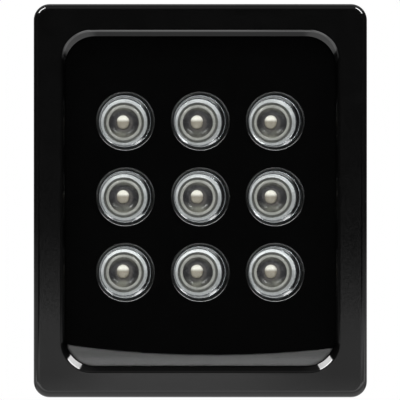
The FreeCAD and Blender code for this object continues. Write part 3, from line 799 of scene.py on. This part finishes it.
def polar_noise(tree, rays, rings, detail=3.0):
    """Noise laid out by angle, rays a radian, and by radius, rings a metre; each optic has its own."""
    place = place_parts(tree)
    layout = add_node(tree, "ShaderNodeCombineXYZ", X=product(tree, polar_angle(tree, place), rays),
                      Y=product(tree, polar_radius(tree, place), rings))
    noise = tree.nodes.new("ShaderNodeTexNoise")
    noise.noise_dimensions = "4D"
    own_number = add_node(tree, "ShaderNodeObjectInfo").outputs["Random"]
    set_socket(tree, noise.inputs["Vector"], layout.outputs[0])
    set_socket(tree, noise.inputs["W"], product(tree, own_number, own_noise_spread))
    set_socket(tree, noise.inputs["Scale"], 1.0)
    set_socket(tree, noise.inputs["Detail"], detail)
    return noise.outputs["Fac"]


def ring_finish(name, dark, light, roughness, metallic, rays, rings, depth, specular=0.5):
    """A ring of the optic: its colour and relief follow angle and radius."""
    material, tree, shader = shaded_material(name)
    shader.inputs["Metallic"].default_value = metallic
    shader.inputs["Specular IOR Level"].default_value = specular
    pattern = polar_noise(tree, rays, rings)
    tree.links.new(shade_between(tree, pattern, dark, light), shader.inputs["Base Color"])
    roughest = roughness * (1 + ring_roughness_spread)
    smoothest = roughness * (1 - ring_roughness_spread)
    uneven = remap(tree, pattern, noise_low, noise_high, roughest, smoothest)
    tree.links.new(uneven, shader.inputs["Roughness"])
    relief(tree, shader, pattern, depth)
    return material


# Colours of the rings: painted reflections and painted shade of the clear plastic, with a real metallic
# mirror on top where metallic is set.
ring_materials = {
    "black_gap": finish("optic_black_gap", (0.004, 0.004, 0.005), 0.4),
    "bead": ring_finish("optic_bead", (0.45, 0.48, 0.50), (0.68, 0.71, 0.73), roughness=0.15,
                        metallic=0.75, rays=6.0, rings=900.0, depth=0.004 * mm),
    "facet": ring_finish("optic_facet", (0.22, 0.225, 0.23), (0.38, 0.39, 0.395), roughness=0.2,
                         metallic=0.3, rays=8.0, rings=900.0, depth=0.006 * mm),
    "silver": ring_finish("optic_silver", (0.58, 0.60, 0.60), (0.80, 0.82, 0.82), roughness=0.2,
                          metallic=0.45, rays=20.0, rings=600.0, depth=0.006 * mm),
    "groove": ring_finish("optic_groove", (0.075, 0.077, 0.07), (0.11, 0.112, 0.10), roughness=0.3,
                          metallic=0.0, rays=3.0, rings=300.0, depth=0.004 * mm),
    "warm": ring_finish("optic_warm_ridge", (0.38, 0.38, 0.35), (0.47, 0.47, 0.43), roughness=0.26,
                        metallic=0.1, rays=1.5, rings=300.0, depth=0.002 * mm),
    "smoky": ring_finish("optic_smoky_bowl", (0.03, 0.029, 0.034), (0.046, 0.046, 0.047), roughness=0.25,
                         metallic=0.0, rays=2.0, rings=500.0, depth=0.008 * mm, specular=0.3),
    "side": ring_finish("optic_side", (0.015, 0.016, 0.017), (0.04, 0.042, 0.043), roughness=0.2,
                        metallic=0.0, rays=8.0, rings=200.0, depth=0.004 * mm, specular=0.2),
}
print("finishes of the optic:", ", ".join(ring_materials))

# %% [markdown]
# ## Light and dark within a ring
# Two rings aren't even all the way round. The smoky bowl glows a little above and below the cap, and the
# facets outside the silver cone are dark at the right and carry two white arcs below. They come from
# reflections inside the clear plastic, which this simple form doesn't give, so they are painted by angle
# and radius and move with the optic.

# %% Bowl and facets
bowl_glow = (0.24, 0.24, 0.2)
cap_edge_glow = (0.24, 0.22, 0.2)
facet_dark = (0.012, 0.012, 0.013)
straight_down = math.radians(-90)
arc_from_down = math.radians(37)
arc_half_length = math.radians(4)
arc_fade_end = math.radians(14)


def smoke_the_bowl(material):
    """Painted light in the bowl: a greenish glow near its edge above and below the cap, and a warm one beside
    the cap.
    """
    tree, shader = tree_and_shader(material)
    place = place_parts(tree)
    radius = polar_radius(tree, place)
    upward = math_node(tree, "DIVIDE", place["Z"], largest(tree, radius, 0.1 * mm))
    above_or_below = math_node(tree, "POWER", without_sign(tree, upward), 3.0)
    lower_reach = math_node(tree, "MULTIPLY_ADD", upward, -0.9 * mm, radius)
    near_edge = remap(tree, lower_reach, 3.2 * mm, 5.2 * mm, 0.0, 1.0)
    cloud = remap(tree, polar_noise(tree, 1.2, 300.0, 1.0), 0.35, 0.65, 0.4, 1.0)
    glow = product(tree, above_or_below, near_edge, cloud)
    glowing = mix_colours(tree, glow, fed_by(shader, "Base Color"), bowl_glow)
    near_cap = remap(tree, radius, 2.7 * mm, 3.9 * mm, 0.4, 0.0)
    bowl_colour = mix_colours(tree, near_cap, glowing, cap_edge_glow)
    tree.links.new(bowl_colour, shader.inputs["Base Color"])


def light_the_facets(material):
    """Facets that are dark at the right, with a white arc at each side of straight down."""
    tree, shader = tree_and_shader(material)
    angle = polar_angle(tree, place_parts(tree))
    at_right = remap(tree, math_node(tree, "COSINE", angle), 0.6, 0.85, 0.0, 1.0)
    shaded = mix_colours(tree, at_right, fed_by(shader, "Base Color"), facet_dark)
    from_down = without_sign(tree, math_node(tree, "SUBTRACT", angle, straight_down))
    off_arc = without_sign(tree, math_node(tree, "SUBTRACT", from_down, arc_from_down))
    arc = remap(tree, off_arc, arc_half_length, arc_fade_end, 1.0, 0.0)
    facet_colour = mix_colours(tree, arc, shaded, (1.0, 1.0, 1.0))
    tree.links.new(facet_colour, shader.inputs["Base Color"])


smoke_the_bowl(ring_materials["smoky"])
light_the_facets(ring_materials["facet"])
print("bowl and facets lit")

# %% [markdown]
# ## The emitter's cap
# In the middle of each optic stands the magnified cap of the emitter. It is round at the top and a little
# narrower below, cream where the light from above meets it and beige further down. A closed crown gives
# that form. Its foot takes the bowl's dark colour, because the optic in front of it blurs its outline.
# The optic also gathers extra light onto the cap's upper part, which a faint glow stands for.

# %% Form of the cap
cap_half_width = 2.43 * mm
cap_drop = 2.92 * mm
cap_line_up = 0.5 * mm
cap_rise = 1.4 * mm
cap_corner_power = 2.3


def cap_radius(angle):
    """How far the outline of the cap lies from its level line's middle, in the direction of the angle."""
    if math.sin(angle) >= 0:
        return cap_half_width
    across = abs(math.cos(angle)) / cap_half_width
    down = abs(math.sin(angle)) / cap_drop
    return (across ** cap_corner_power + down ** cap_corner_power) ** (-1 / cap_corner_power)


def emitter_cap(name, material, segments=48, rings=10):
    """A crown over the cap's outline, with its foot at local Y 0 and its top towards the front."""
    points = [(0.0, -cap_rise, cap_line_up)]
    faces = []
    for ring in range(1, rings + 1):
        share = math.sin(ring / rings * math.pi / 2)
        height = -cap_rise * math.cos(ring / rings * math.pi / 2)
        for step in range(segments):
            angle = 2 * math.pi * step / segments
            reach = cap_radius(angle) * share
            points.append((reach * math.cos(angle), height, cap_line_up + reach * math.sin(angle)))
    for step in range(segments):
        after = (step + 1) % segments
        faces.append((0, 1 + step, 1 + after))
        for ring in range(rings - 1):
            first = 1 + ring * segments
            faces.append((first + step, first + segments + step, first + segments + after, first + after))
    faces.append(tuple(1 + (rings - 1) * segments + step for step in range(segments)))
    cap = mesh_object(name, points, faces)
    cap.data.materials.append(material)
    cap.data.shade_smooth()
    return cap


print("cap in millimetres:", 2 * cap_half_width / mm, "wide,", (cap_half_width + cap_drop) / mm, "high")

# %% Finish of the cap
cap_beige = (0.37, 0.335, 0.265)
cap_lit_cream = (0.96, 0.94, 0.84)
cap_foot_dark = (0.06, 0.058, 0.056)
cap_glow_colour = (1.0, 0.97, 0.86, 1)
cap_glow_strength = 0.16

cap_finish = finish("emitter_cap", (0.5, 0.45, 0.38), 0.3, grain=0.3 * mm, depth=0.004 * mm)
tree, shader = tree_and_shader(cap_finish)
place = place_parts(tree)
# Painted light: the cap's upper part is cream where the light from above meets it, and its lower part beige.
lit_upper_part = remap(tree, place["Z"], 0.1 * mm, 1.5 * mm, 0.0, 1.0)
cap_lit_from_above = mix_colours(tree, lit_upper_part, cap_beige, cap_lit_cream)
out_of_foot = remap(tree, product(tree, place["Y"], -1.0), 0.0, 0.75 * mm, 0.0, 1.0)
cap_colour = mix_colours(tree, out_of_foot, cap_foot_dark, cap_lit_from_above)
tree.links.new(cap_colour, shader.inputs["Base Color"])
shader.inputs["Emission Color"].default_value = cap_glow_colour
gathered_light = product(tree, lit_upper_part, out_of_foot, cap_glow_strength)
tree.links.new(gathered_light, shader.inputs["Emission Strength"])
print("cap glows with", cap_glow_strength)

# %% [markdown]
# ## Placing the optics
# Every optic sits where its measured solid sits. The middle of that solid's box gives the axis, and its
# front gives the depth, so the rings move with the model if a size changes.

# %% Outline of an optic
def ring_arc(middle, depth, half_width, rise, steps=6):
    """Points of a rounded bead in section, from its outer to its inner foot."""
    points = []
    for number in range(steps + 1):
        angle = math.pi * number / steps
        points.append((middle + half_width * math.cos(angle), depth - rise * math.sin(angle)))
    return points


def optic_outline():
    """Outline from the rim inward, as radius and depth behind the optic's front plane, in metres."""
    stretches = [
        ("side", [(2.6, 5.4), (2.6, 10.0), (4.8, 10.0), (10.3, 0.6), (10.3, 0.35)]),
        ("side", ring_arc(10.22, 0.35, 0.08, 0.1)),
        ("black_gap", [(10.14, 0.35), (10.1, 1.3), (9.9, 1.3), (9.84, 0.4)]),
        ("bead", ring_arc(9.75, 0.4, 0.09, 0.10)),
        ("facet", [(9.66, 0.4), (9.62, 0.3), (9.05, 0.58)]),
        ("black_gap", [(9.05, 0.58), (9.0, 1.1), (8.9, 1.1), (8.88, 0.56)]),
        ("bead", ring_arc(8.80, 0.56, 0.08, 0.1)),
        ("silver", [(8.72, 0.56), (8.4, 0.65), (8.0, 0.78), (7.65, 0.9)]),
        ("groove", [(7.65, 0.9), (7.5, 1.35), (6.9, 1.35), (6.7, 1.2)]),
        ("warm", [(6.7, 1.2), (6.5, 1.02), (6.25, 0.9), (6.05, 0.88), (5.85, 0.96), (5.68, 1.2)]),
        ("smoky", [(5.68, 1.2), (5.2, 1.8), (4.6, 2.4), (3.8, 2.9), (2.8, 3.2), (1.5, 3.35), (0, 3.4)]),
    ]
    return [(name, [(radius * mm, depth * mm) for radius, depth in outline]) for name, outline in stretches]


print("points in the outline:", sum(len(outline) for _, outline in optic_outline()))

# %% Nine optics and their caps
optic_front = 0.9 * mm
seat_left = 0.2 * mm
lean_left = 0.74 * mm
lean_down = 0.29 * mm
lean_to_middle = 0.01
cap_shift_x = -0.36 * mm
cap_foot = 3.2 * mm

lens_count = sum(1 for name in nodes if name.startswith("lens_") and name[5:].isdigit())
for number in range(1, lens_count + 1):
    low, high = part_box(f"lens_{number}")
    axis = (low + high) / 2
    front_plane = low.y + optic_front
    lean = (-lean_left - lean_to_middle * axis.x, -lean_down - lean_to_middle * axis.z)
    optic = turned_piece(f"optic_{number}", optic_outline(), ring_materials, lean)
    optic.location = (axis.x + lean[0] - seat_left, front_plane, axis.z + lean[1])
    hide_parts(f"lens_{number}")
    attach(optic, "head")
    cap = emitter_cap(f"emitter_cap_{number}", cap_finish)
    cap.location = (optic.location.x + cap_shift_x, front_plane + cap_foot, optic.location.z)
    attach(cap, "head")
print("optics placed:", lens_count, "faces each:", len(optic.data.polygons))

# %% [markdown]
# ## Casting, bracket and hardware
# The finned casting and the bracket wear a coarser powder coat than the frame. Screws and washers are
# plain stainless steel, the cable gland is black nylon and the seals are rubber. Hidden pieces inside get
# their real finishes too, so that the lamp can be shown in pieces.

# %% Outer hardware
casting_coat = finish("casting_coat", (0.012, 0.012, 0.0125), 0.5, grain=0.5 * mm, depth=0.03 * mm)
bracket_coat = finish("bracket_coat", (0.014, 0.014, 0.0145), 0.48, grain=0.5 * mm, depth=0.03 * mm)
steel = finish("stainless_steel", (0.55, 0.55, 0.54), 0.3, metallic=1.0, grain=0.3 * mm, depth=0.004 * mm)
nylon = finish("black_nylon", (0.016, 0.016, 0.017), 0.42, depth=0.01 * mm)
rubber = finish("black_rubber", (0.012, 0.012, 0.012), 0.75, grain=0.3 * mm)
pale_nylon = finish("pale_nylon", (0.72, 0.70, 0.64), 0.45, depth=0.01 * mm)

outer_finishes = {
    "rear_housing": casting_coat,
    "wall_bracket": bracket_coat,
    "bezel_screws": steel,
    "gland_washer": rubber,
    "gland_body": nylon,
    "gland_locknut": nylon,
    "gland_cap": nylon,
    "gland_seal": rubber,
}
for side_name in ("left", "right"):
    outer_finishes[f"pivot_screw_{side_name}"] = steel
    outer_finishes[f"flat_washer_{side_name}"] = steel
    outer_finishes[f"spring_washer_{side_name}"] = steel
    outer_finishes[f"friction_washer_{side_name}"] = pale_nylon
for node_name, material in outer_finishes.items():
    dress(node_name, material)
print("outer pieces dressed:", len(outer_finishes))

# %% Inner pieces
emitter_ceramic = finish("emitter_ceramic", (0.78, 0.72, 0.55), 0.3, grain=0.2 * mm, depth=0.004 * mm)
inner_finishes = {
    "emitter_board": finish("white_board", (0.72, 0.72, 0.70), 0.35, grain=0.8 * mm, depth=0.01 * mm),
    "driver_board": finish("green_board", (0.03, 0.17, 0.06), 0.35, grain=0.8 * mm, depth=0.01 * mm),
    "board_screws": steel,
    "driver_screws": steel,
    "thermal_pad": finish("grey_silicone", (0.36, 0.38, 0.41), 0.7, grain=0.5 * mm),
    "heat_spreader": finish("rolled_aluminium", (0.68, 0.69, 0.70), 0.32, metallic=1.0, depth=0.006 * mm,
                            stretch=(1.0, 1.0, 0.05)),
    "lead_grommet": rubber,
    "housing_seal": finish("red_silicone", (0.40, 0.09, 0.06), 0.55, grain=0.5 * mm, depth=0.01 * mm),
    "inductor": finish("ferrite", (0.05, 0.05, 0.054), 0.6, grain=0.3 * mm),
    "capacitors": finish("capacitor_sleeve", (0.02, 0.03, 0.07), 0.3, grain=0.6 * mm, depth=0.006 * mm),
    "driver_chip": finish("chip_resin", (0.02, 0.02, 0.02), 0.6, grain=0.2 * mm, depth=0.01 * mm),
    "bridge_rectifier": finish("rectifier_resin", (0.022, 0.022, 0.022), 0.55, grain=0.2 * mm,
                               depth=0.01 * mm),
    "terminal_block": finish("terminal_green", (0.03, 0.24, 0.09), 0.45, grain=0.5 * mm, depth=0.01 * mm),
    "terminal_screws": finish("plated_brass", (0.72, 0.68, 0.55), 0.28, metallic=1.0, depth=0.004 * mm),
    "emitter_lead_negative": finish("black_lead", (0.015, 0.015, 0.015), 0.5, depth=0.01 * mm),
    "emitter_lead_positive": finish("red_lead", (0.45, 0.02, 0.015), 0.5, depth=0.01 * mm),
}
for number in range(1, lens_count + 1):
    inner_finishes[f"emitter_{number}"] = emitter_ceramic
for node_name, material in inner_finishes.items():
    dress(node_name, material)
print("inner pieces dressed:", len(inner_finishes))
